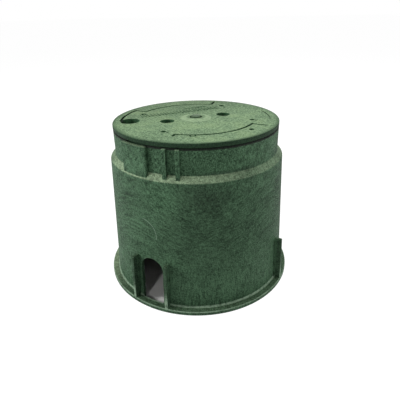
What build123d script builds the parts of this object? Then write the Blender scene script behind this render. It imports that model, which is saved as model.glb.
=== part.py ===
from build123d import *
import math
import os

# Round in-ground valve box of the ten inch class, with a drop-in lid and a quarter-turn lock bolt.
# Millimetres, +Z up, origin on the ground under the middle of the box. The two pipe slots face -Y
# and +Y. Angles are in degrees about Z from +X. What is on one side of the box or of the lid's
# underside is repeated half a turn round.

# Box body
WALL = 5.0                    # moulded wall
FLANGE_RADIUS = 156.7
FLANGE_THICKNESS = 6.5
FOOT_RADIUS = 145.2           # outside of the wall where it meets the flange
SHOULDER_RADIUS = 136.5       # outside of the wall at the shoulder's lower edge
SHOULDER_Z = 207.0
COLLAR_RADIUS = 128.2
COLLAR_FOOT_Z = 215.8
COLLAR_WALL = 4.7
RIM_Z = 252.0                 # outer step of the collar's rim
SEAT_Z = 253.4                # inner step, which the lid rests on
SEAT_WIDTH = 2.9
BOTTOM_EDGE = 0.8             # roundings of the body's corners
FLANGE_EDGE = 1.6
FOOT_FILLET = 2.2
SHOULDER_ROUNDING = 4.0
COLLAR_FILLET = 1.8
RIM_EDGE = 0.8
SEAT_EDGE = 0.5
INNER_COLLAR_FILLET = 2.0
INNER_SHOULDER_FILLET = 3.0
HALF_TURN = 180

# Pipe slots and the ribs on each side of them
SLOT_ANGLE = -90
SLOT_WIDTH = 38.4
SLOT_SPRING_Z = 63.2          # where the slot's sides turn into its round top
RIB_SPREAD = 10.9             # degrees from a slot's middle to a rib
RIB_THICKNESS = 4.8
RIB_STAND = 11.3              # how far a rib stands off the wall
RIB_TOP_Z = 81.0
RIB_SETBACKS = (1.0, 0.3)      # from the flange's edge, low down and at the flange's top
RIB_CORNER = 1.6
RIB_EDGE = 0.8
GUSSET_ANGLE = 0              # lone rib, a quarter turn from the slots

# Lock pockets and twin lugs on the collar
POCKET_ANGLE = -100.4
POCKET_ARC = 20.6
POCKET_RADIUS = 134.5         # outside of a pocket
POCKET_REACH = 129.0          # inside of a pocket
POCKET_SIDE_ARC = 2.2
POCKET_EDGE = 0.9
POCKET_CORNER = 2.6
LUG_ANGLES = (-78.9, -70.9)
LUG_THICKNESS = 5.7
LUG_RADIUS = 133.3
LUG_FOOT = 3.0                # length of a lug's foot on the shoulder
LUG_EDGE = 1.0

# Lid
LID_RADIUS = 128.3
LID_TOP_Z = 260.0
LID_AXIS = -37.9              # middle of the lid's pattern; lid angles are counted from it
BOSS_BASE_RADIUS = 21.0
BOSS_TOP_RADIUS = 17.6
BOSS_TOP_Z = 261.6
HEAD_POCKET_RADIUS = 9.6
HEAD_POCKET_Z = 255.9
LID_EDGE = 1.5                # roundings of the lid's corners
BOSS_EDGE = 1.2
SMALL_EDGE = 0.8
SKIRT_RADIUS = 122.7
SKIRT_THICKNESS = 3.4
SKIRT_DEPTH = 12.0
UNDER_RIB_DEPTH = 6.0
UNDER_RIB_THICKNESS = 3.0
UNDER_RIB_ANGLES = (0, 38, 72, 118, 146, 180, 214, 242, 288, 322)
RING_RADII = (34.0, 70.0)     # outside of each ring rib under the lid
GUIDE_RADIUS = 10.5           # tube under the lid that guides the bolt
GUIDE_END_Z = 213.0
GUIDE_DRAFT = 1.5             # how much wider the tube is at the lid
GUIDE_FILLET = 2.0
STOP_SIZE = 7.0
STOP_END_Z = 199.0
STOP_GAP = 0.3                # from the bar's edge to a stop post at each end of the turn
STOP_ROUNDING = 0.8
STOP_WEB = 4.0                # thickness of the web from a stop post to the guide tube
STOP_WEB_END_Z = 217.0
FINGER_HOLE_AT = (101.5, -104.7)
FINGER_HOLE_RADIUS = 14.8
FINGER_NOTCH_AT = (117.2, -108.6)
FINGER_NOTCH_RADIUS = 1.4
NOTCH_ROOT = 0.55             # the notch's root, as shares of the finger hole's radius
NOTCH_ROOT_HALF_WIDTH = 0.62
VENT_HOLE_RADIUS = 11.0
VENT_CIRCLE = 47.0
PIN_HOLE_RADIUS = 3.8
PIN_HOLES = ((85.5, -54.0), (87.5, 55.2), (105.0, 25.4))
SLOT_HOLES = ((90.5, 128.1), (89.5, -130.5))
SLOT_HOLE_SIZE = (9.5, 9.0)
TICKS = ((86.5, -49.2), (94.0, 54.0), (83.7, 122.0), (82.0, -126.5))
TICK_SIZE = (5.5, 2.4)
TICK_TURN = 55
DIMPLE_AT = (27.4, 153.0)
DIMPLE_RADIUS = 1.6
GROOVE_WIDTH = 3.9
GROOVE_DEPTH = 3.2
FRONT_GROOVE = (92.0, -40.5, 41.8)        # radius and ends
FRONT_JOGS = ((99.0, -40.5), (113.5, 41.0))   # outer ends of its two radial ends
BACK_GROOVE = (94.5, 141.0, 219.0)
RIM_GROOVE = (115.2, 219.0, 250.0)
FAINT_GROOVE = (114.0, 59.0, 86.0)
FAINT_WIDTH = 2.2
FAINT_DEPTH = 0.9
LOOP_AT = (95.5, -24.8)       # small loop that hangs on the front groove
LOOP_RADII = (4.6, 2.6)

# Lock: 3/8 inch bolt, nuts, washers and a flat bar that turns under the shoulder
BOLT_RADIUS = 4.76
BOLT_LENGTH = 69.85
BOLT_CHAMFER = 1.0
HEX_FLATS = 14.29
HEAD_HEIGHT = 5.95
GUIDE_CLEARANCE = 0.08
WASHER_RADIUS = 9.0
WASHER_THICKNESS = 1.6
WASHER_BORE = 5.2
RETAINER_RADIUS = 9.5
RETAINER_BORE = 4.78
RETAINER_GAP = 0.1            # from the retainer up to the guide tube's end
BAR_WIDTH = 28.0
BAR_THICKNESS = 3.2
BAR_REACH = 127.5
BAR_CORNER = 4.0
BAR_TOP_Z = 204.5
BEAD_LENGTH = 84.0            # pressed beads that stiffen the bar
BEAD_WIDTH = 5.0
BEAD_HEIGHT = 1.2
BEAD_MIDDLE = 66.0
JAM_NUT_HEIGHT = 5.56
LOCK_NUT_HEIGHT = 8.33
NUT_BORE = 4.79
NUT_CHAMFER = 0.5             # countersink at both ends of a nut's bore

SHOULDER_STEP = WALL * 0.82   # the shoulder's inside corners sit this far under its outside ones
UNDERSIDE_Z = SEAT_Z          # the lid's underside
CUT = 1.0                     # how far a cutter or a joined part runs past a surface


def turned(angle, shape):
    """The shape turned about the box's axis."""
    return Rot(0, 0, angle) * shape


def at_polar(radius, angle, z, shape):
    """The shape moved out along an angle, and turned with it."""
    return Rot(0, 0, angle) * Pos(radius, 0, z) * shape


def profile(corners):
    """A face in the X-Z plane from (radius, z, rounding) corners."""
    face = make_face(Polyline([(r, z) for r, z, _ in corners], close=True))
    for r, z, rounding in corners:
        if rounding:
            corner = face.vertices().sort_by_distance(Vector(r, z, 0))[0]
            face = fillet(corner, rounding)
    return Plane.XZ * face


def spun(corners, arc=360):
    """The profile spun about Z, centred on +X when it is less than a full turn."""
    return turned(-arc / 2, revolve(profile(corners), Axis.Z, revolution_arc=arc))


def radial_plate(corners, thickness):
    """The profile as a plate that stands along +X."""
    return extrude(profile(corners), thickness / 2, both=True)


def tube(outer, inner, low, high):
    """A straight tube about Z."""
    corners = [(inner, low, 0), (outer, low, 0), (outer, high, 0), (inner, high, 0)]
    return spun(corners)


def wall_radius(z):
    """Outside of the tapered wall at a height."""
    share = (z - FLANGE_THICKNESS) / (SHOULDER_Z - FLANGE_THICKNESS)
    return FOOT_RADIUS + share * (SHOULDER_RADIUS - FOOT_RADIUS)


def body_shell():
    collar_inside = COLLAR_RADIUS - COLLAR_WALL
    foot_inside = wall_radius(0) - WALL
    shoulder_inside_z = SHOULDER_Z - SHOULDER_STEP
    return spun([
        (foot_inside, 0, BOTTOM_EDGE),
        (FLANGE_RADIUS, 0, BOTTOM_EDGE),
        (FLANGE_RADIUS, FLANGE_THICKNESS, FLANGE_EDGE),
        (FOOT_RADIUS, FLANGE_THICKNESS, FOOT_FILLET),
        (SHOULDER_RADIUS, SHOULDER_Z, SHOULDER_ROUNDING),
        (COLLAR_RADIUS, COLLAR_FOOT_Z, COLLAR_FILLET),
        (COLLAR_RADIUS, RIM_Z, RIM_EDGE),
        (collar_inside + SEAT_WIDTH, RIM_Z, 0),
        (collar_inside + SEAT_WIDTH, SEAT_Z, SEAT_EDGE),
        (collar_inside, SEAT_Z, SEAT_EDGE),
        (collar_inside, COLLAR_FOOT_Z - SHOULDER_STEP, INNER_COLLAR_FILLET),
        (SHOULDER_RADIUS - WALL, shoulder_inside_z, INNER_SHOULDER_FILLET),
    ])


def slot_rib():
    """One upright rib on the wall, standing on the flange."""
    low = FLANGE_THICKNESS / 2
    low_setback, top_setback = RIB_SETBACKS
    plate = radial_plate([
        (wall_radius(low) - WALL / 2, low, 0),
        (FLANGE_RADIUS - low_setback, low, 0),
        (FLANGE_RADIUS - top_setback, FLANGE_THICKNESS, 0),
        (wall_radius(RIB_TOP_Z) + RIB_STAND, RIB_TOP_Z, RIB_CORNER),
        (wall_radius(RIB_TOP_Z) - WALL / 2, RIB_TOP_Z, 0),
    ], RIB_THICKNESS)
    top_edges = plate.faces().sort_by(Axis.Z)[-1].edges().filter_by(Axis.X)
    return fillet(top_edges, RIB_EDGE)


def slot_cutter():
    """Round-topped slot through the wall on the -Y side. The flange crosses it outside the wall."""
    middle_z = (FLANGE_THICKNESS + SLOT_SPRING_Z) / 2
    outline = Pos(0, middle_z) * Rectangle(SLOT_WIDTH, SLOT_SPRING_Z - FLANGE_THICKNESS)
    outline += Pos(0, SLOT_SPRING_Z) * Circle(SLOT_WIDTH / 2)
    inside = SHOULDER_RADIUS - 3 * WALL
    upper = extrude(Plane.XZ.offset(inside) * outline, FLANGE_RADIUS - inside)
    foot = Pos(0, -FOOT_RADIUS, 0) * Box(SLOT_WIDTH, 4 * WALL, 2 * FLANGE_THICKNESS)
    return upper + (foot & Cylinder(FOOT_RADIUS, 4 * FLANGE_THICKNESS))


def lock_pocket():
    """Raised pocket on the collar, solid; its hollow is cut later."""
    root = COLLAR_RADIUS - COLLAR_WALL / 2
    foot_z = SHOULDER_Z + CUT
    block = spun([
        (root, COLLAR_FOOT_Z, 0),
        (POCKET_REACH + COLLAR_WALL / 2, foot_z, 0),
        (POCKET_RADIUS, foot_z, 0),
        (POCKET_RADIUS, RIM_Z, POCKET_EDGE),
        (root, RIM_Z, 0),
    ], POCKET_ARC)
    corners = block.edges().filter_by(Axis.Z).sort_by(SortBy.DISTANCE)[-2:]
    return fillet(corners, POCKET_CORNER)


def lock_pocket_cutter():
    inside_arc = POCKET_ARC - 2 * POCKET_SIDE_ARC
    low = SHOULDER_Z - 2 * WALL
    inner = COLLAR_RADIUS - 2 * COLLAR_WALL
    corners = [(inner, low, 0), (POCKET_REACH, low, 0), (POCKET_REACH, LID_TOP_Z, 0), (inner, LID_TOP_Z, 0)]
    return spun(corners, inside_arc)


def lug():
    """One of the twin upright lugs on the collar, standing on the shoulder."""
    inner = COLLAR_RADIUS - COLLAR_WALL / 2
    return radial_plate([
        (inner, COLLAR_FOOT_Z, 0),
        (LUG_RADIUS - LUG_FOOT, SHOULDER_Z + CUT, 0),
        (LUG_RADIUS, SHOULDER_Z + CUT, 0),
        (LUG_RADIUS, RIM_Z, LUG_EDGE),
        (inner, RIM_Z, 0),
    ], LUG_THICKNESS)


def make_body():
    body = body_shell()
    for side in (0, HALF_TURN):
        body += turned(POCKET_ANGLE + side, lock_pocket())
        body += turned(GUSSET_ANGLE + side, slot_rib())
        for angle in LUG_ANGLES:
            body += turned(angle + side, lug())
        for spread in (-RIB_SPREAD, RIB_SPREAD):
            body += turned(SLOT_ANGLE + spread + side, slot_rib())
    for side in (0, HALF_TURN):
        body -= turned(POCKET_ANGLE + side, lock_pocket_cutter())
        body -= turned(side, slot_cutter())
    return body


def arc_groove(radius, start, end, depth=GROOVE_DEPTH, width=GROOVE_WIDTH):
    """Cutter for a groove in the lid's top along an arc, with round ends."""
    floor = LID_TOP_Z - depth
    top = LID_TOP_Z + CUT
    inner, outer = radius - width / 2, radius + width / 2
    section = profile([(inner, floor, 0), (outer, floor, 0), (outer, top, 0), (inner, top, 0)])
    path = turned(start, revolve(section, Axis.Z, revolution_arc=end - start))
    for angle in (start, end):
        path += at_polar(radius, angle, (floor + top) / 2, Cylinder(width / 2, top - floor))
    return path


def radial_groove(inner, outer, angle):
    """Cutter for a straight groove along a radius, with a round outer end."""
    floor = LID_TOP_Z - GROOVE_DEPTH
    height = GROOVE_DEPTH + CUT
    run = at_polar((inner + outer) / 2, angle, floor + height / 2, Box(outer - inner, GROOVE_WIDTH, height))
    return run + at_polar(outer, angle, floor + height / 2, Cylinder(GROOVE_WIDTH / 2, height))


def panel_grooves():
    """The outline grooves in the lid's top."""
    cut = arc_groove(*FRONT_GROOVE)
    cut += arc_groove(*BACK_GROOVE)
    cut += arc_groove(*RIM_GROOVE)
    cut += arc_groove(*FAINT_GROOVE, FAINT_DEPTH, FAINT_WIDTH)
    for outer, angle in FRONT_JOGS:
        cut += radial_groove(FRONT_GROOVE[0], outer, angle)
    for angle in BACK_GROOVE[1:]:
        cut += radial_groove(BACK_GROOVE[0], RIM_GROOVE[0], angle)
    loop_radius, loop_angle = LOOP_AT
    loop = tube(*LOOP_RADII, LID_TOP_Z - GROOVE_DEPTH / 2, LID_TOP_Z + CUT)
    return cut + at_polar(loop_radius, loop_angle, 0, loop)


def finger_hole_cutter():
    """The lifting hole: round, with a pointed notch towards the rim."""
    radius, angle = FINGER_HOLE_AT
    centre = Vector(radius, 0).rotate(Axis.Z, angle)
    notch_radius, notch_angle = FINGER_NOTCH_AT
    tip = Vector(notch_radius, 0).rotate(Axis.Z, notch_angle)
    along = (tip - centre).normalized()
    across = Vector(-along.Y, along.X)
    base = centre + along * (FINGER_HOLE_RADIUS * NOTCH_ROOT)
    half = FINGER_HOLE_RADIUS * NOTCH_ROOT_HALF_WIDTH
    wedge = make_face(Polyline([
        base + across * half,
        tip + across * FINGER_NOTCH_RADIUS,
        tip - across * FINGER_NOTCH_RADIUS,
        base - across * half,
    ], close=True))
    outline = wedge + Pos(centre) * Circle(FINGER_HOLE_RADIUS) + Pos(tip) * Circle(FINGER_NOTCH_RADIUS)
    low = UNDERSIDE_Z - SKIRT_DEPTH
    return extrude(Pos(0, 0, low) * outline, LID_TOP_Z + CUT - low)


def lid_plate():
    """Lid disc with its raised boss and the pocket for the bolt's head."""
    bore = BOLT_RADIUS + GUIDE_CLEARANCE
    return spun([
        (bore, GUIDE_END_Z, 0),
        (GUIDE_RADIUS, GUIDE_END_Z, SMALL_EDGE),
        (GUIDE_RADIUS + GUIDE_DRAFT, UNDERSIDE_Z, GUIDE_FILLET),
        (LID_RADIUS, UNDERSIDE_Z, SMALL_EDGE),
        (LID_RADIUS, LID_TOP_Z, LID_EDGE),
        (BOSS_BASE_RADIUS, LID_TOP_Z, SMALL_EDGE),
        (BOSS_TOP_RADIUS, BOSS_TOP_Z, BOSS_EDGE),
        (HEAD_POCKET_RADIUS, BOSS_TOP_Z, SMALL_EDGE),
        (HEAD_POCKET_RADIUS, HEAD_POCKET_Z, 0),
        (bore, HEAD_POCKET_Z, 0),
    ])


def stop_post():
    """Square post and its web: the lock bar's edge meets the post at each end of its quarter turn."""
    middle = (BAR_WIDTH + STOP_SIZE) / 2 + STOP_GAP
    high = UNDERSIDE_Z + CUT
    post = Pos(middle, -middle, (STOP_END_Z + high) / 2) * Box(STOP_SIZE, STOP_SIZE, high - STOP_END_Z)
    post = fillet(post.edges().filter_by(Axis.Z), STOP_ROUNDING)
    reach = math.hypot(middle, middle)
    web = Box(reach - GUIDE_RADIUS + UNDER_RIB_THICKNESS, STOP_WEB, high - STOP_WEB_END_Z)
    return post + at_polar((GUIDE_RADIUS + reach) / 2, -45, (high + STOP_WEB_END_Z) / 2, web)


def lid_underside():
    """Skirt, ring ribs, radial ribs and stop posts under the lid."""
    low, high = UNDERSIDE_Z - UNDER_RIB_DEPTH, UNDERSIDE_Z + CUT
    under = tube(SKIRT_RADIUS, SKIRT_RADIUS - SKIRT_THICKNESS, UNDERSIDE_Z - SKIRT_DEPTH, high)
    for radius in RING_RADII:
        under += tube(radius, radius - UNDER_RIB_THICKNESS, low, high)
    inner = RING_RADII[0] - UNDER_RIB_THICKNESS / 2
    outer = SKIRT_RADIUS - SKIRT_THICKNESS / 2
    plate = Box(outer - inner, UNDER_RIB_THICKNESS, high - low)
    for angle in UNDER_RIB_ANGLES:
        under += at_polar((inner + outer) / 2, angle, (low + high) / 2, plate)
    return under


def make_lid():
    lid = lid_plate() + turned(LID_AXIS, lid_underside())
    for side in (0, HALF_TURN):
        lid += turned(POCKET_ANGLE + side, stop_post())
    cut = panel_grooves() + finger_hole_cutter()
    through = 2 * SKIRT_DEPTH
    for angle in (-90, 90):
        cut += at_polar(VENT_CIRCLE, angle, UNDERSIDE_Z, Cylinder(VENT_HOLE_RADIUS, through))
    for radius, angle in PIN_HOLES:
        cut += at_polar(radius, angle, UNDERSIDE_Z, Cylinder(PIN_HOLE_RADIUS, through))
    slot_length, slot_width = SLOT_HOLE_SIZE
    slot_hole = extrude(SlotOverall(slot_length, slot_width, rotation=90), through / 2, both=True)
    for radius, angle in SLOT_HOLES:
        cut += at_polar(radius, angle, UNDERSIDE_Z, slot_hole)
    for radius, angle in TICKS:
        cut += at_polar(radius, angle, LID_TOP_Z, Rot(0, 0, TICK_TURN) * Box(*TICK_SIZE, 2 * FAINT_DEPTH))
    cut += at_polar(*DIMPLE_AT, LID_TOP_Z, Cylinder(DIMPLE_RADIUS, 2 * FAINT_DEPTH))
    return lid - turned(LID_AXIS, cut)


def hex_prism(height, low, bore=0):
    """Hexagonal prism with its corners chamfered at 30 degrees, such as a bolt's head or a nut."""
    flats_radius = HEX_FLATS / 2
    corner_radius = flats_radius / math.cos(math.pi / 6)
    chamfer_height = (corner_radius - flats_radius) * math.tan(math.pi / 6)
    prism = extrude(RegularPolygon(corner_radius, 6), height)
    cone = spun([
        (0, 0, 0),
        (flats_radius, 0, 0),
        (corner_radius, chamfer_height, 0),
        (corner_radius, height - chamfer_height, 0),
        (flats_radius, height, 0),
        (0, height, 0),
    ])
    prism = prism & cone
    if bore:
        mouth = bore + NUT_CHAMFER
        prism -= spun([
            (0, 0, 0),
            (mouth, 0, 0),
            (bore, NUT_CHAMFER, 0),
            (bore, height - NUT_CHAMFER, 0),
            (mouth, height, 0),
            (0, height, 0),
        ])
    return Pos(0, 0, low) * prism


def make_bolt(head_low):
    """Hex bolt with its head's underside at a height."""
    shank = Pos(0, 0, head_low - BOLT_LENGTH / 2) * Cylinder(BOLT_RADIUS, BOLT_LENGTH)
    shank = chamfer(shank.edges().sort_by(Axis.Z)[0], BOLT_CHAMFER)
    return shank + hex_prism(HEAD_HEIGHT, head_low)


def make_bar():
    """Flat lock bar with two pressed beads and tips rounded to the box's circle."""
    low = BAR_TOP_Z - BAR_THICKNESS
    outline = Rectangle(2 * BAR_REACH, BAR_WIDTH) & Circle(BAR_REACH)
    outline = fillet(outline.vertices(), BAR_CORNER)
    bar = extrude(Pos(0, 0, low) * outline, BAR_THICKNESS)
    bead = extrude(SlotOverall(BEAD_LENGTH, BEAD_WIDTH), BEAD_HEIGHT)
    for side in (-BEAD_MIDDLE, BEAD_MIDDLE):
        bar += Pos(side, 0, BAR_TOP_Z) * bead
        bar -= Pos(side, 0, low) * bead
    bar -= Pos(0, 0, low) * Cylinder(WASHER_BORE, 4 * BAR_THICKNESS)
    return turned(POCKET_ANGLE, bar)


def main():
    os.makedirs("parts", exist_ok=True)
    washer_top = HEAD_POCKET_Z + WASHER_THICKNESS
    bar_low = BAR_TOP_Z - BAR_THICKNESS
    retainer_high = GUIDE_END_Z - RETAINER_GAP
    retainer_low = retainer_high - WASHER_THICKNESS
    lock_nut_high = bar_low - WASHER_THICKNESS
    nodes = {
        "box_body": make_body(),
        "lid": make_lid(),
        "lock_bolt": make_bolt(washer_top),
        "head_washer": tube(WASHER_RADIUS, WASHER_BORE, HEAD_POCKET_Z, washer_top),
        "bolt_retainer": tube(RETAINER_RADIUS, RETAINER_BORE, retainer_low, retainer_high),
        "jam_nut": hex_prism(JAM_NUT_HEIGHT, BAR_TOP_Z, NUT_BORE),
        "lock_bar": make_bar(),
        "bar_washer": tube(WASHER_RADIUS, WASHER_BORE, lock_nut_high, bar_low),
        "lock_nut": hex_prism(LOCK_NUT_HEIGHT, lock_nut_high - LOCK_NUT_HEIGHT, NUT_BORE),
    }
    for name, shape in nodes.items():
        export_step(shape, f"parts/{name}.step")
        print(name, round(shape.volume), shape.is_valid, len(shape.solids()))


main()
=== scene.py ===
import math

import bmesh
import bpy
from mathutils import Matrix, Vector


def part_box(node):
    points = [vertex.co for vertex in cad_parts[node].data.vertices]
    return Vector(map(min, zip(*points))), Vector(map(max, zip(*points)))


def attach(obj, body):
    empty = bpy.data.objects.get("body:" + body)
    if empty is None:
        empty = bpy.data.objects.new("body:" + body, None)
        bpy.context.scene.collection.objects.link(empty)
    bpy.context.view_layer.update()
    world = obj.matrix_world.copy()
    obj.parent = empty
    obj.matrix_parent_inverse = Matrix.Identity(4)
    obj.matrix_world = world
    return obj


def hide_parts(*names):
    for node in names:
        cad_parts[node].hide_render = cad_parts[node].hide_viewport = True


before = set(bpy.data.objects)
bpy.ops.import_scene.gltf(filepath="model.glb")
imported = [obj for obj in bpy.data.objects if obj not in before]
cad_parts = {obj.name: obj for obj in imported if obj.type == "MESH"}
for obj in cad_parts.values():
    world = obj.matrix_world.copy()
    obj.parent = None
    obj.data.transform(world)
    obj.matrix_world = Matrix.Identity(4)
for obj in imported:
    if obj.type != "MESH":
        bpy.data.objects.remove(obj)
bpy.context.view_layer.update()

# Round valve box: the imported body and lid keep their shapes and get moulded-plastic materials. The bolt
# and nuts get real threads, and the lid gets two rows of raised grip marks.
# Metres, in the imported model's own frame. Angles are in degrees, about Z from +X unless stated.
MM = 0.001

# Camera, placed about the box's axis; its azimuth is counted from -Y towards +X
CAMERA_AZIMUTH = 30.17
CAMERA_DISTANCE = 0.578
CAMERA_HEIGHT = 0.4075
CAMERA_HEADING = -29.80
CAMERA_PITCH = 26.79
CAMERA_ROLL = -1.218
CAMERA_LENS = 33.56

# Studio: the surroundings' levels, and softboxes as (azimuth from the camera, elevation, size, power)
HORIZON_LEVEL = 1.0
SIDE_LEVEL = 0.34
FRONT_LEVEL = 0.12
FRONTAL_RANGE = (0.15, 0.75)    # share of a direction that points at the camera, from side to front
HORIZON_RANGE = (0.08, 0.30)    # height of a direction, from the horizon's level to the upper ones
LIGHT_DISTANCE = 1.9
SOFTBOXES = {
    "key": (160, 66, 1.3, 31.0),
    "left": (-80, 26, 0.45, 40.0),
    "right": (75, 26, 0.8, 22.0),
    "front": (-22, 30, 0.12, 8.5),
}

# Floor: it glows only outside the flange, so that the box's inside stays dark
FLOOR_HALF = 30.0
FLOOR_COLOUR = (0.12, 0.12, 0.12, 1.0)
INSIDE_FLOOR_COLOUR = (0.50, 0.50, 0.485, 1.0)
FLOOR_GLOW = 0.95
GLOW_INSETS = (8 * MM, 1 * MM)  # in from the flange's edge, where the glow starts and is full

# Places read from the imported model
_, BODY_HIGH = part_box("box_body")
_, LID_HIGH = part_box("lid")
BOLT_LOW, BOLT_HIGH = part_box("lock_bolt")
FLANGE_RADIUS = BODY_HIGH.x
LID_RADIUS = LID_HIGH.x
BOX_TOP = BODY_HIGH.z
BOSS_TOP = LID_HIGH.z

# Places counted from those
FOOT_RADIUS = FLANGE_RADIUS - 11.5 * MM
WALL_RADIUS = FLANGE_RADIUS - 17 * MM
FLANGE_TOP = 6.5 * MM
COLLAR_FOOT = BOX_TOP - 37.4 * MM
POCKET_TOP = BOX_TOP - 18.4 * MM
LID_TOP = BOSS_TOP - 1.6 * MM
LID_AXIS = math.radians(-37.9)  # middle of the lid's pattern

# Body plastic: colours, and the range of the summed noises over which dark turns into light
BODY_DARK = (0.0010, 0.011, 0.0028, 1.0)
BODY_LIGHT = (0.0435, 0.093, 0.049, 1.0)
BODY_TONES = (2.25, 3.35)
# paler colour of upward faces: sun-faded plastic and painted light from above
BODY_FADED_LIT = (0.180, 0.245, 0.150)
# colour of the painted highlights on the flange's fillet and upper edge
BODY_EDGE_HIGHLIGHT = (0.150, 0.215, 0.150, 1.0)
BODY_SCRATCHED = (0.150, 0.215, 0.160, 1.0)
BODY_GLOSS = 0.14

# Flow marks: arcs about gates, one every quarter turn, and upright streaks below them
GATE_ANGLE = math.radians(-55.0)
GATE_HEIGHT = BOX_TOP - 30 * MM
ARC_SCALE = 460.0
ARC_WOBBLE = 14 * MM
ARC_STRETCH = 16 * MM           # length of noise used up by a radian along an arc
STREAK_SCALE = 480.0
STREAK_STRETCH = 0.16
STREAK_HEIGHTS = (20 * MM, 140 * MM)    # only streaks below the first, only arcs above the second

# Patches of painted light and shade on the body, each (angle, height, half angle, half height, strength)
PATCH_RAGGED = 1.2              # how far the blotches push a patch's edge in and out
PATCH_EDGE = (0.3, 1.7)         # squared share of the half sizes, from full to nothing
# painted shade in the middle of the wall and at the collar's foot, painted light below the lugs
WALL_PAINTED_LIGHT_SHADE = (
    (-57, 190 * MM, 20, 30 * MM, -0.32),
    (-60, 130 * MM, 30, 80 * MM, -0.14),
    (-80, 185 * MM, 15, 30 * MM, 0.30),
    (-38, 217 * MM, 26, 5 * MM, -0.40),
)
# stretches of the shoulder that get less of the painted light from above
SHOULDER_SHADES = (
    (-8, 210 * MM, 52, 60 * MM, -0.7),
    (-150, 210 * MM, 35, 60 * MM, -0.6),
)
# painted light on the flange's left side, where the left softbox falls
FLANGE_LEFT_PAINTED_LIGHT = (-158, 0.0, 50, 50 * MM, 0.80)
# painted light on the collar and painted shade on the ribs' faces
COLLAR_PAINTED_LIGHT = 0.12
RIB_PAINTED_SHADE = -0.27
INSIDE_PAINTED_SHADE = 0.22             # painted shade: share of the colour left on faces towards the box's axis
INWARD_RANGE = (-0.75, -0.35)   # outward part of such a face's normal
# painted shadow in the seam under the lid
SEAM_PAINTED_SHADOW = -0.9

# Paler upward faces, sun-faded and with painted light from above, as shares of the faded, lit colour
UPWARD_RANGE = (0.30, 0.85)     # upward part of a face's normal
FADE_AND_TOP_LIGHT = 0.9
PLAIN_FADE_AND_LIGHT = 0.10
POCKET_FADE_AND_LIGHT = 0.35

# Scratch on the wall: part of a circle, as (angle, height, radius, start, end), the last two up from level
SCRATCH = (-95.4, 122 * MM, 24.4 * MM, -8, 82)
SCRATCH_HALF_WIDTH = 0.25 * MM
SCRATCH_SOFT = 0.35 * MM
SCRATCH_SOFT_END = 0.12
SCRATCH_STRENGTH = 0.55

# Lid plastic
LID_GREEN = (0.020, 0.054, 0.022, 1.0)
LID_PALE = (0.172, 0.262, 0.143, 1.0)
LID_TONES = (1.85, 2.75)
LID_SUNNY = (0.170, 0.240, 0.095, 1.0)
# painted shade along the edge of the lid's top
LID_EDGE_SHADE = (0.020, 0.050, 0.022, 1.0)
# colour of the painted highlight round the bolt's boss
LID_BOSS_HIGHLIGHT = (0.270, 0.360, 0.215, 1.0)
# sides: darker plastic with painted shade; holes: painted shade
LID_SIDE = (0.0045, 0.018, 0.0065, 1.0)
LID_HOLE_SHADE = (0.014, 0.046, 0.018, 1.0)
LID_GLOSS = 0.15
LID_BACK_RANGE = (-30 * MM, 100 * MM)   # from the middle to the back, where the lid turns darker
LID_BACK_TINT = 0.76
BOSS_HIGHLIGHT_RING = (16.5 * MM, 23.0 * MM)  # painted highlight on the boss's rim
LID_TOP_RANGE = (0.45, 0.95)            # upward part of a face's normal

# Other materials
STEEL = (0.070, 0.110, 0.065)
STEEL_ROUGHNESS = 0.55
ZINC = (0.42, 0.43, 0.41)
ZINC_ROUGHNESS = 0.42
NYLON_DARK = (0.62, 0.60, 0.50, 1.0)
NYLON_PALE = (0.74, 0.73, 0.66, 1.0)

# Thread and hexagons of the 3/8 inch lock bolt
THREAD_RADIUS = 4.76 * MM
THREAD_PITCH = 1.5875 * MM
THREAD_DEPTH = 0.82 * MM
THREAD_LENGTH = 32.0 * MM
THREAD_STEEPNESS = 1.15         # over 1, so that the thread's root is flat
THREAD_CLEARANCE = 0.04 * MM
RUN_OUT_TURNS = 2
TIP_INSET = 1.3 * MM            # the bolt's tapered tip
MOUTH_FLARE = 0.5 * MM          # countersink at both ends of a nut
HEX_FLATS = 14.29 * MM
HEX_CHAMFER = math.radians(30)
HEX_CHAMFER_STEPS = 4
HEAD_HEIGHT = 5.95 * MM
TURN_STEPS = 72
STEPS_PER_PITCH = 8
SHARP_ANGLE = math.radians(32)
WELD_DISTANCE = 1e-6

# Grip marks: two straight rows across the back of the lid, each (distance, first, last, mark length)
GRIP_ROWS = ((47 * MM, -74 * MM, 60 * MM, 16.0 * MM), (64 * MM, 8 * MM, 42 * MM, 7.0 * MM))
GRIP_PITCH = 5.6 * MM
GRIP_WIDTH = 2.6 * MM
GRIP_RISE = 1.1 * MM
GRIP_SINK = 0.4 * MM
GRIP_INSET = 0.45 * MM
GRIP_END_STEPS = 6


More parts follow.
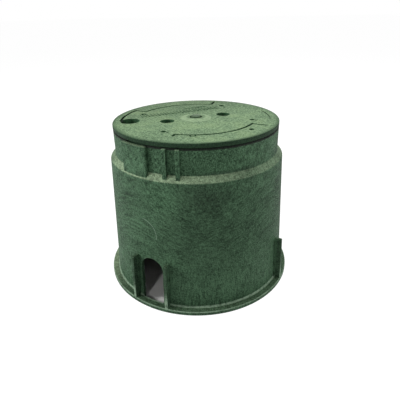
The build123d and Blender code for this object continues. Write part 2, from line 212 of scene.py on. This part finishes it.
class Shader:
    """The nodes of a material or world. Any input of a node may be a constant or another node's output."""

    def __init__(self, owner, place="Object"):
        owner.use_nodes = True
        self.owner = owner
        self.tree = owner.node_tree
        self.tree.nodes.clear()
        coordinates = self.add("ShaderNodeTexCoord", {})
        self.place = coordinates.outputs[place]
        self.facing = self.parts(coordinates.outputs["Normal"])
        self.xyz = self.parts(self.place)

    def add(self, kind, inputs, **properties):
        node = self.tree.nodes.new(kind)
        for name, value in properties.items():
            setattr(node, name, value)
        for key, value in inputs.items():
            if isinstance(value, bpy.types.NodeSocket):
                self.tree.links.new(value, node.inputs[key])
            else:
                node.inputs[key].default_value = value
        return node

    def parts(self, vector):
        return self.add("ShaderNodeSeparateXYZ", {0: vector}).outputs

    def math(self, operation, *values):
        return self.add("ShaderNodeMath", dict(enumerate(values)), operation=operation).outputs[0]

    def scaled(self, vector, factors):
        node = self.add("ShaderNodeVectorMath", {0: vector, 1: factors}, operation="MULTIPLY")
        return node.outputs[0]

    def tinted(self, colour, factor):
        """The colour made lighter or darker by a factor."""
        return self.add("ShaderNodeVectorMath", {0: colour, 3: factor}, operation="SCALE").outputs[0]

    def noise(self, vector, scale, detail=2.0, roughness=0.5, distortion=0.0):
        inputs = {"Vector": vector, "Scale": scale, "Detail": detail}
        inputs.update({"Roughness": roughness, "Distortion": distortion})
        return self.add("ShaderNodeTexNoise", inputs).outputs[0]

    def spread(self, value, low, high, to_low=0.0, to_high=1.0):
        """The value eased from its range low to high onto another range, and held at its ends."""
        inputs = {"Value": value, "From Min": low, "From Max": high, "To Min": to_low, "To Max": to_high}
        return self.add("ShaderNodeMapRange", inputs, interpolation_type="SMOOTHSTEP").outputs[0]

    def between(self, value, low, high, soft):
        """1 inside a band of values, 0 outside it, with soft edges."""
        rising = self.spread(value, low - soft, low)
        return self.math("MULTIPLY", rising, self.spread(value, high, high + soft, 1.0, 0.0))

    def mix(self, factor, first, second):
        inputs = {0: factor, 6: first, 7: second}
        return self.add("ShaderNodeMix", inputs, data_type="RGBA").outputs[2]

    def weighted(self, *pairs):
        """Sum of (value, weight) pairs."""
        total = self.math("MULTIPLY", *pairs[0])
        for value, weight in pairs[1:]:
            total = self.math("MULTIPLY_ADD", value, weight, total)
        return total

    def square_sum(self, first, second):
        return self.math("ADD", self.math("POWER", first, 2.0), self.math("POWER", second, 2.0))

    def length(self, first, second):
        return self.math("SQRT", self.square_sum(first, second))

    def radius(self):
        return self.length(self.xyz[0], self.xyz[1])

    def turn_from(self, angle):
        """Angle about Z from a given one, in radians."""
        return self.math("SUBTRACT", self.math("ARCTAN2", self.xyz[1], self.xyz[0]), angle)

    def patch(self, angle, height, half_angle, half_height, uneven):
        """1 at a spot on the round wall, fading to 0 at its uneven edge."""
        side = self.math("DIVIDE", self.turn_from(math.radians(angle)), math.radians(half_angle))
        rise = self.math("DIVIDE", self.math("SUBTRACT", self.xyz[2], height), half_height)
        away = self.math("MULTIPLY_ADD", uneven, PATCH_RAGGED, self.square_sum(side, rise))
        return self.spread(away, *PATCH_EDGE, 1.0, 0.0)

    def patches(self, places, uneven):
        """Sum of patches, each times its strength."""
        return self.weighted(*((self.patch(*place, uneven), strength) for *place, strength in places))

    def scratch(self, angle, height, radius, start, end):
        """A fine line on the wall, part of a circle about a spot; its ends are angles up from level."""
        side = self.math("MULTIPLY", self.turn_from(math.radians(angle)), WALL_RADIUS)
        rise = self.math("SUBTRACT", self.xyz[2], height)
        reach = self.length(side, rise)
        line = self.between(reach, radius - SCRATCH_HALF_WIDTH, radius + SCRATCH_HALF_WIDTH, SCRATCH_SOFT)
        turn = self.math("ARCTAN2", rise, side)
        part = self.between(turn, math.radians(start), math.radians(end), SCRATCH_SOFT_END)
        return self.math("MULTIPLY", line, part)

    def upright_streaks(self):
        """Fine streaks that run up the wall."""
        place = self.scaled(self.place, (1.0, 1.0, STREAK_STRETCH))
        return self.noise(place, scale=STREAK_SCALE, detail=3.0, roughness=0.65)

    def flow_arcs(self, wobble):
        """Short streaks on arcs round the gates, where the plastic entered the mould."""
        four_fold = self.math("SINE", self.math("MULTIPLY", self.turn_from(GATE_ANGLE), 2.0))
        across = self.math("MULTIPLY", four_fold, FLANGE_RADIUS / 2)
        down = self.math("SUBTRACT", GATE_HEIGHT, self.xyz[2])
        reach = self.math("MULTIPLY_ADD", wobble, ARC_WOBBLE, self.length(across, down))
        along = self.math("MULTIPLY", self.math("ARCTAN2", across, down), ARC_STRETCH)
        place = self.add("ShaderNodeCombineXYZ", {0: reach, 1: along, 2: 0.0}).outputs[0]
        return self.noise(place, scale=ARC_SCALE, detail=3.0, roughness=0.65)

    def bump(self, height, distance, strength=1.0):
        inputs = {"Height": height, "Distance": distance, "Strength": strength}
        return self.add("ShaderNodeBump", inputs).outputs[0]

    def finish(self, inputs):
        surface = self.add("ShaderNodeBsdfPrincipled", inputs)
        self.add("ShaderNodeOutputMaterial", {"Surface": surface.outputs[0]})
        return self.owner


def painted_wall_light_shade(s, blotch):
    """Factor of painted light and shade on the body's wall: a lighter collar, darker ribs, and stretches
    lighter or darker as the studio light falls.
    """
    collar = s.spread(s.xyz[2], COLLAR_FOOT - 4 * MM, COLLAR_FOOT + 6 * MM)
    outside_wall = s.spread(s.radius(), FOOT_RADIUS + 1.0 * MM, FOOT_RADIUS + 3.5 * MM)
    above_flange = s.spread(s.xyz[2], FLANGE_TOP + 0.5 * MM, FLANGE_TOP + 2.5 * MM)
    ribs = s.math("MULTIPLY", outside_wall, above_flange)
    places = s.patches(WALL_PAINTED_LIGHT_SHADE, blotch)
    change = s.math("ADD", places, s.weighted((collar, COLLAR_PAINTED_LIGHT), (ribs, RIB_PAINTED_SHADE)))
    return s.math("ADD", change, 1.0)


def faded_and_lit_share(s, blotch):
    """Share of the faded, lit colour on upward faces, partly sun fading and partly painted light from above:
    most on the shoulder, less on the pockets' tops and the flange.
    """
    shoulder = s.between(s.xyz[2], COLLAR_FOOT - 21 * MM, COLLAR_FOOT + 6 * MM, 12 * MM)
    shoulder = s.math("MULTIPLY_ADD", shoulder, s.patches(SHOULDER_SHADES, blotch), shoulder)
    tops = s.spread(s.xyz[2], POCKET_TOP, POCKET_TOP + 10 * MM, 0.0, POCKET_FADE_AND_LIGHT)
    # painted light on the flange's left side
    *place, strength = FLANGE_LEFT_PAINTED_LIGHT
    elsewhere = s.math("MULTIPLY_ADD", s.patch(*place, blotch), strength, PLAIN_FADE_AND_LIGHT)
    share = s.math("MAXIMUM", s.math("MAXIMUM", shoulder, tops), elsewhere)
    upward = s.spread(s.facing[2], *UPWARD_RANGE)
    return s.math("MULTIPLY", s.math("MULTIPLY", upward, share), FADE_AND_TOP_LIGHT)


def flange_highlights(s, mottle):
    """Painted highlights on the fillet where the wall meets the flange and along the flange's upper edge."""
    radius = s.radius()
    near_foot = s.between(radius, FOOT_RADIUS, FOOT_RADIUS + 1.9 * MM, 0.9 * MM)
    on_flange = s.between(s.xyz[2], FLANGE_TOP - 0.5 * MM, FLANGE_TOP + 1.9 * MM, 0.8 * MM)
    foot = s.math("MULTIPLY", near_foot, on_flange)
    outermost = s.spread(radius, FLANGE_RADIUS - 1.7 * MM, FLANGE_RADIUS - 0.7 * MM)
    uppermost = s.spread(s.xyz[2], FLANGE_TOP - 1.6 * MM, FLANGE_TOP - 0.6 * MM)
    edge = s.math("MULTIPLY", outermost, uppermost)
    return s.math("MULTIPLY", s.math("MAXIMUM", foot, edge), s.spread(mottle, 0.35, 0.6, 0.3, 0.9))


def painted_inner_shade(s):
    """Factor of painted shade on the faces towards the box's inside and of a painted shadow in the seam
    under the lid.
    """
    radius = s.radius()
    outward = s.math("DIVIDE", s.weighted((s.facing[0], s.xyz[0]), (s.facing[1], s.xyz[1])), radius)
    inside = s.spread(outward, *INWARD_RANGE, INSIDE_PAINTED_SHADE, 1.0)
    rim = s.spread(s.xyz[2], BOX_TOP - 4.0 * MM, BOX_TOP - 2.6 * MM)
    under_lid = s.spread(radius, LID_RADIUS + 0.3 * MM, LID_RADIUS + 0.9 * MM, 1.0, 0.0)
    seam = s.math("MULTIPLY", rim, under_lid)
    return s.math("MULTIPLY", inside, s.math("MULTIPLY_ADD", seam, SEAM_PAINTED_SHADOW, 1.0))


def body_plastic():
    """Dark green polyethylene with flow marks, mottling and grain, paler on upward faces from sun fading and
    painted light, with painted light and shade on the wall, painted highlights along the flange and painted
    shade inside and under the lid.
    """
    s = Shader(bpy.data.materials.new("body_plastic"))
    cloud = s.noise(s.place, scale=11.0, detail=3.0, roughness=0.55, distortion=0.8)
    blotch = s.noise(s.place, scale=42.0, detail=3.0, roughness=0.55)
    mottle = s.noise(s.place, scale=210.0, detail=3.0, roughness=0.75)
    grain = s.noise(s.place, scale=560.0, detail=3.0, roughness=0.8)
    pores = s.noise(s.place, scale=1500.0)
    flow = s.mix(s.spread(s.xyz[2], *STREAK_HEIGHTS), s.upright_streaks(), s.flow_arcs(blotch))
    tone = s.weighted((cloud, 0.6), (blotch, 0.4), (mottle, 0.6), (flow, 1.6), (grain, 2.4))
    colour = s.mix(s.spread(tone, *BODY_TONES), BODY_DARK, BODY_LIGHT)
    # painted light and shade across the wall
    colour = s.tinted(colour, painted_wall_light_shade(s, blotch))
    line = s.math("MULTIPLY", s.scratch(*SCRATCH), SCRATCH_STRENGTH)
    colour = s.mix(line, colour, BODY_SCRATCHED)
    grit = s.spread(s.weighted((grain, 0.6), (mottle, 0.4)), 0.38, 0.62, 0.45, 1.45)
    # paler upward faces: sun fading and painted light from above
    colour = s.mix(faded_and_lit_share(s, blotch), colour, s.tinted(BODY_FADED_LIT, grit))
    # painted highlights on the flange
    colour = s.mix(flange_highlights(s, mottle), colour, BODY_EDGE_HIGHLIGHT)
    # painted shade inside the box and painted shadow under the lid
    colour = s.tinted(colour, painted_inner_shade(s))
    rough = s.spread(s.math("ADD", grain, mottle), 0.75, 1.25, 0.78, 0.58)
    normal = s.bump(s.weighted((grain, 0.6), (pores, 0.3), (flow, 0.6)), 1.2 * MM, 0.8)
    return s.finish({
        "Base Color": colour, "Roughness": rough, "Normal": normal, "Specular IOR Level": BODY_GLOSS,
    })


def lid_top(s, cloud, speckle, grain, mottle):
    """Colour of the lid's top: speckled, darker at the back, with painted shade along the edge and a painted
    highlight round the bolt.
    """
    patches = s.noise(s.place, scale=38.0, detail=4.0, roughness=0.6)
    tone = s.weighted((cloud, 0.4), (patches, 0.4), (mottle, 0.6), (speckle, 1.7), (grain, 1.6))
    top = s.mix(s.spread(tone, *LID_TONES), LID_GREEN, LID_PALE)
    sunny = s.spread(s.math("ADD", cloud, patches), 0.95, 1.25)
    top = s.mix(s.math("MULTIPLY", sunny, 0.2), top, LID_SUNNY)
    back = s.weighted((s.xyz[0], -math.cos(LID_AXIS)), (s.xyz[1], -math.sin(LID_AXIS)))
    top = s.tinted(top, s.spread(back, *LID_BACK_RANGE, 1.0, LID_BACK_TINT))
    radius = s.radius()
    # painted shade along the lid's rounded edge
    ragged = s.math("MULTIPLY_ADD", speckle, 12.0 * MM, radius)
    shaded_edge = s.spread(ragged, LID_RADIUS - 1.5 * MM, LID_RADIUS + 6.5 * MM, 0.0, 0.75)
    top = s.mix(shaded_edge, top, LID_EDGE_SHADE)
    # painted highlight on the boss's rim
    boss_highlight = s.between(radius, *BOSS_HIGHLIGHT_RING, 2.0 * MM)
    return s.mix(s.math("MULTIPLY", boss_highlight, 0.45), top, LID_BOSS_HIGHLIGHT)


def lid_plastic():
    """Sage green, sun-faded polyethylene with a fine pebble grain; painted shade in the holes and grooves
    and on the sides, which are also darker plastic.
    """
    s = Shader(bpy.data.materials.new("lid_plastic"))
    cloud = s.noise(s.place, scale=9.0, distortion=0.5)
    mottle = s.noise(s.place, scale=150.0, detail=4.0, roughness=0.8)
    speckle = s.noise(s.place, scale=250.0, roughness=0.8)
    grain = s.noise(s.place, scale=520.0, detail=4.0, roughness=0.85)
    pores = s.noise(s.place, scale=1200.0)
    # painted shade in the holes and on the sides, which are also darker plastic
    holes = s.spread(s.radius(), LID_RADIUS - 20.0 * MM, LID_RADIUS - 14.0 * MM, 1.0, 0.0)
    dark = s.tinted(s.mix(holes, LID_SIDE, LID_HOLE_SHADE), s.spread(grain, 0.3, 0.7, 0.4, 1.9))
    # painted shade on the groove floors and below the top's edge
    low_edge = s.math("MULTIPLY_ADD", mottle, 1.6 * MM, LID_TOP - 2.6 * MM)
    above = s.math("DIVIDE", s.math("SUBTRACT", s.xyz[2], low_edge), 1.4 * MM)
    shown = s.math("MULTIPLY", s.spread(s.facing[2], *LID_TOP_RANGE), s.spread(above, 0.0, 1.0))
    colour = s.mix(shown, dark, lid_top(s, cloud, speckle, grain, mottle))
    rough = s.spread(grain, 0.35, 0.65, 0.80, 0.60)
    normal = s.bump(s.weighted((mottle, 0.4), (grain, 0.8), (pores, 0.3)), 1.4 * MM, 0.9)
    return s.finish({
        "Base Color": colour, "Roughness": rough, "Normal": normal, "Specular IOR Level": LID_GLOSS,
    })


def plain_metal(name, colour, roughness):
    """Dull metal with fine brushing and slight tarnish."""
    s = Shader(bpy.data.materials.new(name))
    tarnish = s.noise(s.place, scale=240.0, detail=4.0, roughness=0.6)
    brushing = s.noise(s.scaled(s.place, (1.0, 1.0, 14.0)), scale=520.0, detail=3.0)
    shade = s.tinted(colour, s.spread(tarnish, 0.3, 0.7, 0.72, 1.08))
    rough = s.spread(brushing, 0.3, 0.7, roughness + 0.12, roughness - 0.06)
    normal = s.bump(brushing, 0.12 * MM, 0.35)
    return s.finish({"Base Color": shade, "Roughness": rough, "Normal": normal, "Metallic": 1.0})


def nylon():
    """Natural nylon, slightly waxy."""
    s = Shader(bpy.data.materials.new("nylon"))
    cloud = s.noise(s.place, scale=300.0, detail=3.0)
    colour = s.mix(s.spread(cloud, 0.3, 0.7), NYLON_DARK, NYLON_PALE)
    rough = s.spread(cloud, 0.3, 0.7, 0.42, 0.34)
    normal = s.bump(s.noise(s.place, scale=1600.0), 0.1 * MM, 0.4)
    return s.finish({"Base Color": colour, "Roughness": rough, "Normal": normal, "Subsurface Weight": 0.15})


def new_piece(name, points, faces, material, body, slot):
    """Mesh piece with smooth faces and sharp corners that rides on a CAD body."""
    mesh = bpy.data.meshes.new(name)
    mesh.from_pydata(points, [], faces)
    mesh.materials.append(material)
    tidy = bmesh.new()
    tidy.from_mesh(mesh)
    bmesh.ops.remove_doubles(tidy, verts=tidy.verts, dist=WELD_DISTANCE)
    bmesh.ops.recalc_face_normals(tidy, faces=tidy.faces)
    tidy.to_mesh(mesh)
    tidy.free()
    mesh.shade_smooth()
    mesh.set_sharp_from_angle(angle=SHARP_ANGLE)
    piece = bpy.data.objects.new(name, mesh)
    bpy.context.scene.collection.objects.link(piece)
    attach(piece, body)
    return piece


def bridged(rings, closed):
    """Points and faces of a skin over the rings, closed onto the first ring or capped at both ends."""
    points = [p for r in rings for p in r]
    size = len(rings[0])
    count = len(rings)
    faces = []
    for i in range(count if closed else count - 1):
        low, high = i * size, (i + 1) % count * size
        for j in range(size):
            k = (j + 1) % size
            faces.append((low + j, low + k, high + k, high + j))
    if not closed:
        faces.append(tuple(range(size))[::-1])
        faces.append(tuple(range((count - 1) * size, count * size)))
    return points, faces


def ring(radius_at, z):
    """Points once round the axis at a height; the radius is a function of the angle."""
    angles = [2 * math.pi * i / TURN_STEPS for i in range(TURN_STEPS)]
    return [(radius_at(a) * math.cos(a), radius_at(a) * math.sin(a), z) for a in angles]


def hexagon(angle):
    """Radius of the hexagon at an angle; its flats are across Y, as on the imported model."""
    side = math.pi / 3
    return HEX_FLATS / 2 / math.cos((angle - math.pi / 2 + side / 2) % side - side / 2)


def hex_rings(low, high):
    """Rings up the outside of a hexagon whose corners are chamfered."""
    corner = HEX_FLATS / 2 / math.cos(math.pi / 6)
    rise = (corner - HEX_FLATS / 2) * math.tan(HEX_CHAMFER)
    heights = [low + rise * i / HEX_CHAMFER_STEPS for i in range(HEX_CHAMFER_STEPS + 1)]
    heights += [high - (z - low) for z in reversed(heights)]
    rings = []
    for z in heights:
        limit = HEX_FLATS / 2 + min(z - low, high - z) / math.tan(HEX_CHAMFER)
        rings.append(ring(lambda a: min(hexagon(a), limit), z))
    return rings


def thread_radius(angle, z, depth):
    """Radius of a vee thread at an angle and height, counted in from the crest."""
    phase = (z / THREAD_PITCH - angle / (2 * math.pi)) % 1.0
    vee = abs(2 * phase - 1)
    return THREAD_RADIUS - depth * min(1.0, THREAD_STEEPNESS * vee)


def make_bolt(material):
    """Hex bolt: chamfered head, plain shank, and a thread along its lower end."""
    head_low = BOLT_HIGH.z - HEAD_HEIGHT
    thread_top = BOLT_LOW.z + THREAD_LENGTH
    tip_radius = THREAD_RADIUS - TIP_INSET
    rings = [ring(lambda a: tip_radius, BOLT_LOW.z)]
    steps = round(THREAD_LENGTH / THREAD_PITCH * STEPS_PER_PITCH)
    for i in range(1, steps + 1):
        z = BOLT_LOW.z + THREAD_LENGTH * i / steps
        tip = tip_radius + (z - BOLT_LOW.z)
        depth = THREAD_DEPTH * min(1.0, (thread_top - z) / (RUN_OUT_TURNS * THREAD_PITCH))
        rings.append(ring(lambda a: min(tip, thread_radius(a, z, depth)), z))
    rings.append(ring(lambda a: THREAD_RADIUS, head_low))
    rings += hex_rings(head_low, BOLT_HIGH.z)
    piece = new_piece("lock_bolt_threaded", *bridged(rings, False), material, "lock", "stainless")
    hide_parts("lock_bolt")


def make_nut(node, material):
    """Hex nut with chamfered corners and a threaded bore."""
    low, high = (corner.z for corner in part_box(node))
    rings = hex_rings(low, high)
    mouth = THREAD_RADIUS + MOUTH_FLARE
    steps = round((high - low) / THREAD_PITCH * STEPS_PER_PITCH)
    for i in range(steps + 1):
        z = high - (high - low) * i / steps
        flare = mouth - min(z - low, high - z)
        rings.append(ring(lambda a: max(flare, thread_radius(a, z, THREAD_DEPTH) + THREAD_CLEARANCE), z))
    piece = new_piece(node + "_threaded", *bridged(rings, True), material, "lock", "stainless")
    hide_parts(node)


def stadium(length, width):
    """Outline of a round-ended bar about the origin, lying along X."""
    half = (length - width) / 2
    points = []
    for side, start in ((1, 0.0), (-1, math.pi)):
        for i in range(GRIP_END_STEPS + 1):
            a = start + math.pi * i / GRIP_END_STEPS
            points.append((side * half + width / 2 * math.sin(a), width / 2 * math.cos(a)))
    return points


def make_grip_marks(material):
    """Rows of raised round-ended bars with softened tops, across the back of the lid."""
    row_turn = Matrix.Rotation(LID_AXIS + math.pi, 3, "Z")
    top = LID_TOP + GRIP_RISE
    levels = ((0.0, LID_TOP - GRIP_SINK), (0.0, top - GRIP_INSET), (GRIP_INSET, top))
    points, faces = [], []
    for distance, first, last, length in GRIP_ROWS:
        for i in range(int((last - first) / GRIP_PITCH) + 1):
            centre = Vector((distance, -first - i * GRIP_PITCH, 0.0))
            rings = []
            for inset, z in levels:
                outline = stadium(length - 2 * inset, GRIP_WIDTH - 2 * inset)
                rings.append([row_turn @ (centre + Vector((x, y, z))) for x, y in outline])
            mark_points, mark_faces = bridged(rings, False)
            faces += [tuple(len(points) + n for n in face) for face in mark_faces]
            points += mark_points
    new_piece("lid_grip_marks", points, faces, material, "lid", "lid_plastic")


def dress_nodes(materials):
    """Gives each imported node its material."""
    for name, material in materials.items():
        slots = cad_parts[name].data.materials
        slots.clear()
        slots.append(material)


def make_camera():
    data = bpy.data.cameras.new("camera")
    data.lens = CAMERA_LENS
    camera = bpy.data.objects.new("camera", data)
    azimuth = math.radians(CAMERA_AZIMUTH)
    sideways, back = CAMERA_DISTANCE * math.sin(azimuth), -CAMERA_DISTANCE * math.cos(azimuth)
    camera.location = (sideways, back, CAMERA_HEIGHT)
    heading, pitch = math.radians(CAMERA_HEADING), math.radians(CAMERA_PITCH)
    level_part = math.cos(pitch)
    forward = Vector((math.sin(heading) * level_part, math.cos(heading) * level_part, -math.sin(pitch)))
    right = Vector((math.cos(heading), -math.sin(heading), 0.0))
    up = right.cross(forward)
    level = Matrix((right, up, -forward)).transposed()
    roll = Matrix.Rotation(math.radians(CAMERA_ROLL), 3, "Z")
    camera.rotation_euler = (level @ roll).to_euler()
    bpy.context.scene.collection.objects.link(camera)
    bpy.context.scene.camera = camera


def around(azimuth, elevation, distance):
    """Point about the box, its azimuth counted from the camera's side towards the camera's right."""
    a, e = math.radians(CAMERA_AZIMUTH + azimuth), math.radians(elevation)
    return Vector((math.sin(a) * math.cos(e), -math.cos(a) * math.cos(e), math.sin(e))) * distance


def add_softbox(name, place, size, power):
    """Square white area light that faces the middle of the box."""
    data = bpy.data.lights.new(name, "AREA")
    data.size = size
    data.energy = power
    light = bpy.data.objects.new(name, data)
    light.location = place
    aim = Vector((0.0, 0.0, BOX_TOP / 2)) - light.location
    light.rotation_euler = aim.to_track_quat("-Z", "Y").to_euler()
    bpy.context.scene.collection.objects.link(light)


def make_studio():
    """White surroundings, dimmer above the horizon and dimmest behind the camera, with four softboxes."""
    world = bpy.data.worlds.new("studio")
    s = Shader(world, "Generated")
    towards = math.radians(CAMERA_AZIMUTH)
    frontal = s.weighted((s.xyz[0], math.sin(towards)), (s.xyz[1], -math.cos(towards)))
    upper = s.spread(frontal, *FRONTAL_RANGE, SIDE_LEVEL, FRONT_LEVEL)
    share = s.spread(s.xyz[2], *HORIZON_RANGE)
    level = s.weighted((upper, share), (s.math("SUBTRACT", 1.0, share), HORIZON_LEVEL))
    background = s.add("ShaderNodeBackground", {"Color": (1.0, 1.0, 1.0, 1.0), "Strength": level})
    s.add("ShaderNodeOutputWorld", {"Surface": background.outputs[0]})
    bpy.context.scene.world = world
    for name, (azimuth, elevation, size, power) in SOFTBOXES.items():
        add_softbox(name, around(azimuth, elevation, LIGHT_DISTANCE), size, power)
    bpy.context.scene.view_settings.view_transform = "Standard"


def make_floor():
    """Wide floor that glows white, with a plain grey spot inside the flange."""
    mesh = bpy.data.meshes.new("floor")
    h = FLOOR_HALF
    mesh.from_pydata([(-h, -h, 0), (h, -h, 0), (h, h, 0), (-h, h, 0)], [], [(0, 1, 2, 3)])
    floor = bpy.data.objects.new("floor", mesh)
    bpy.context.scene.collection.objects.link(floor)
    s = Shader(bpy.data.materials.new("floor"))
    start, full = (FLANGE_RADIUS - inset for inset in GLOW_INSETS)
    outside = s.spread(s.radius(), start, full)
    tone = s.mix(outside, INSIDE_FLOOR_COLOUR, FLOOR_COLOUR)
    mesh.materials.append(s.finish({
        "Base Color": tone, "Roughness": 0.9, "Specular IOR Level": 0.0,
        "Emission Color": (1.0, 1.0, 1.0, 1.0), "Emission Strength": s.math("MULTIPLY", outside, FLOOR_GLOW),
    }))


steel = plain_metal("stainless", STEEL, STEEL_ROUGHNESS)
lid_material = lid_plastic()
dress_nodes({
    "box_body": body_plastic(),
    "lid": lid_material,
    "head_washer": steel,
    "bolt_retainer": nylon(),
    "lock_bar": plain_metal("zinc_steel", ZINC, ZINC_ROUGHNESS),
    "bar_washer": steel,
})
make_bolt(steel)
make_nut("jam_nut", steel)
make_nut("lock_nut", steel)
make_grip_marks(lid_material)
make_floor()
make_studio()
make_camera()
